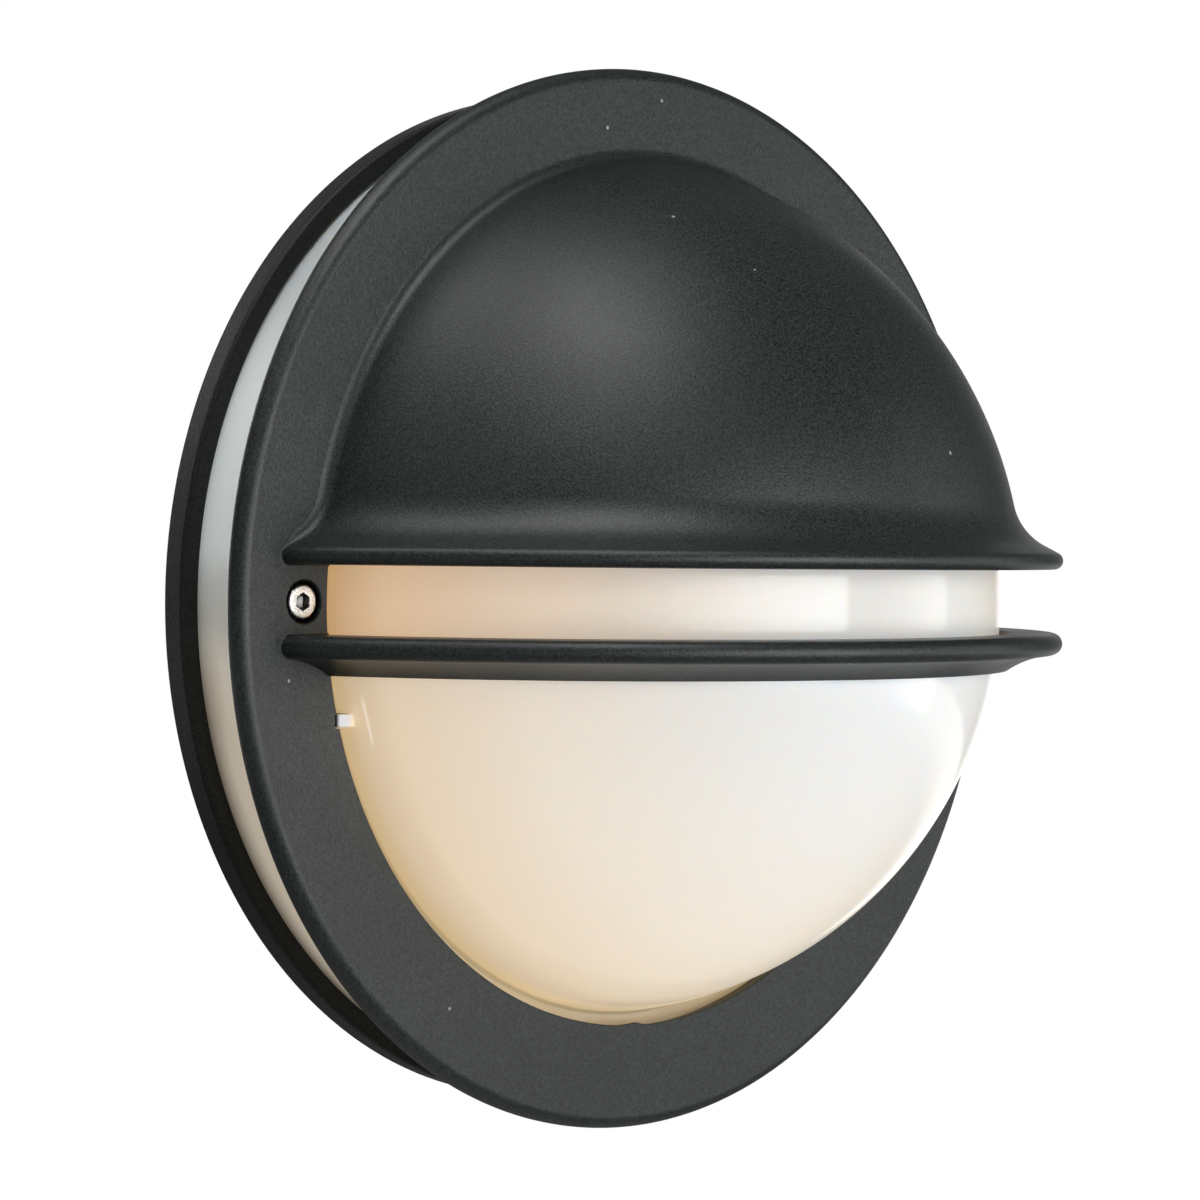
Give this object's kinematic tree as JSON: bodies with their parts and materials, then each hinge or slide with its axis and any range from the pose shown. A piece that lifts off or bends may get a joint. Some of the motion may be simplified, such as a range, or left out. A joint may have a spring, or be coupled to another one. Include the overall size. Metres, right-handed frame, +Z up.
{
  "type": "wall light",
  "caption": "Round outdoor wall light with a flat ring bezel, a half hood with flared lip over an opal dome, and a curved rib below the light slot.",
  "frame": {"origin": "centre of the cable entry in the plane of the wall", "axes": "+Y into the wall, +Z up, +X to the viewer's right when facing the light"},
  "size_m": [0.28, 0.1365, 0.28],
  "materials": {
    "bezel_coat": "graphite fine-textured powder coat on die-cast aluminium",
    "plate_coat": "graphite fine-textured powder coat on die-cast aluminium",
    "opal": "glossy moulded opal, translucent",
    "stainless": "plain stainless steel",
    "zinc_steel": "bright zinc plate",
    "brass": "plain brass",
    "black_rubber": "matt black rubber",
    "pale_rubber": "pale silicone",
    "white_enamel": "white stove enamel on aluminium sheet",
    "porcelain": "white glazed porcelain",
    "lamp_glass": "frosted white lamp glass",
    "cream_plastic": "moulded polyamide",
    "brown_silicone": "silicone lead insulation",
    "blue_silicone": "silicone lead insulation",
    "green_silicone": "silicone lead insulation"
  },
  "bodies": {
    "root": {"base_plate": "plate_coat", "wall_seal": "black_rubber", "skirt_gasket": "pale_rubber", "diffuser": "opal", "bezel_gasket": "pale_rubber", "bezel": "bezel_coat", "bezel_screw_left": "stainless", "bezel_screw_right": "stainless", "screw_head_seals": "black_rubber", "fixing_seals": "black_rubber", "cable_grommet": "black_rubber", "reflector_tray": "white_enamel", "tray_screws": "stainless", "tray_grommet": "black_rubber", "lamp_bracket": "zinc_steel", "bracket_screws": "stainless", "holder_nipple": "brass", "holder_nut": "zinc_steel", "lampholder_body": "porcelain", "lampholder_sleeve": "brass", "lampholder_contact": "brass", "lamp": "lamp_glass", "terminal_block": "cream_plastic", "terminal_clamps": "brass", "terminal_screws": "zinc_steel", "terminal_fixing_screws": "zinc_steel", "earth_screw": "stainless", "earth_tag": "zinc_steel", "lead_live": "brown_silicone", "lead_neutral": "blue_silicone", "lead_earth": "green_silicone"}
  },
  "joints": []
}
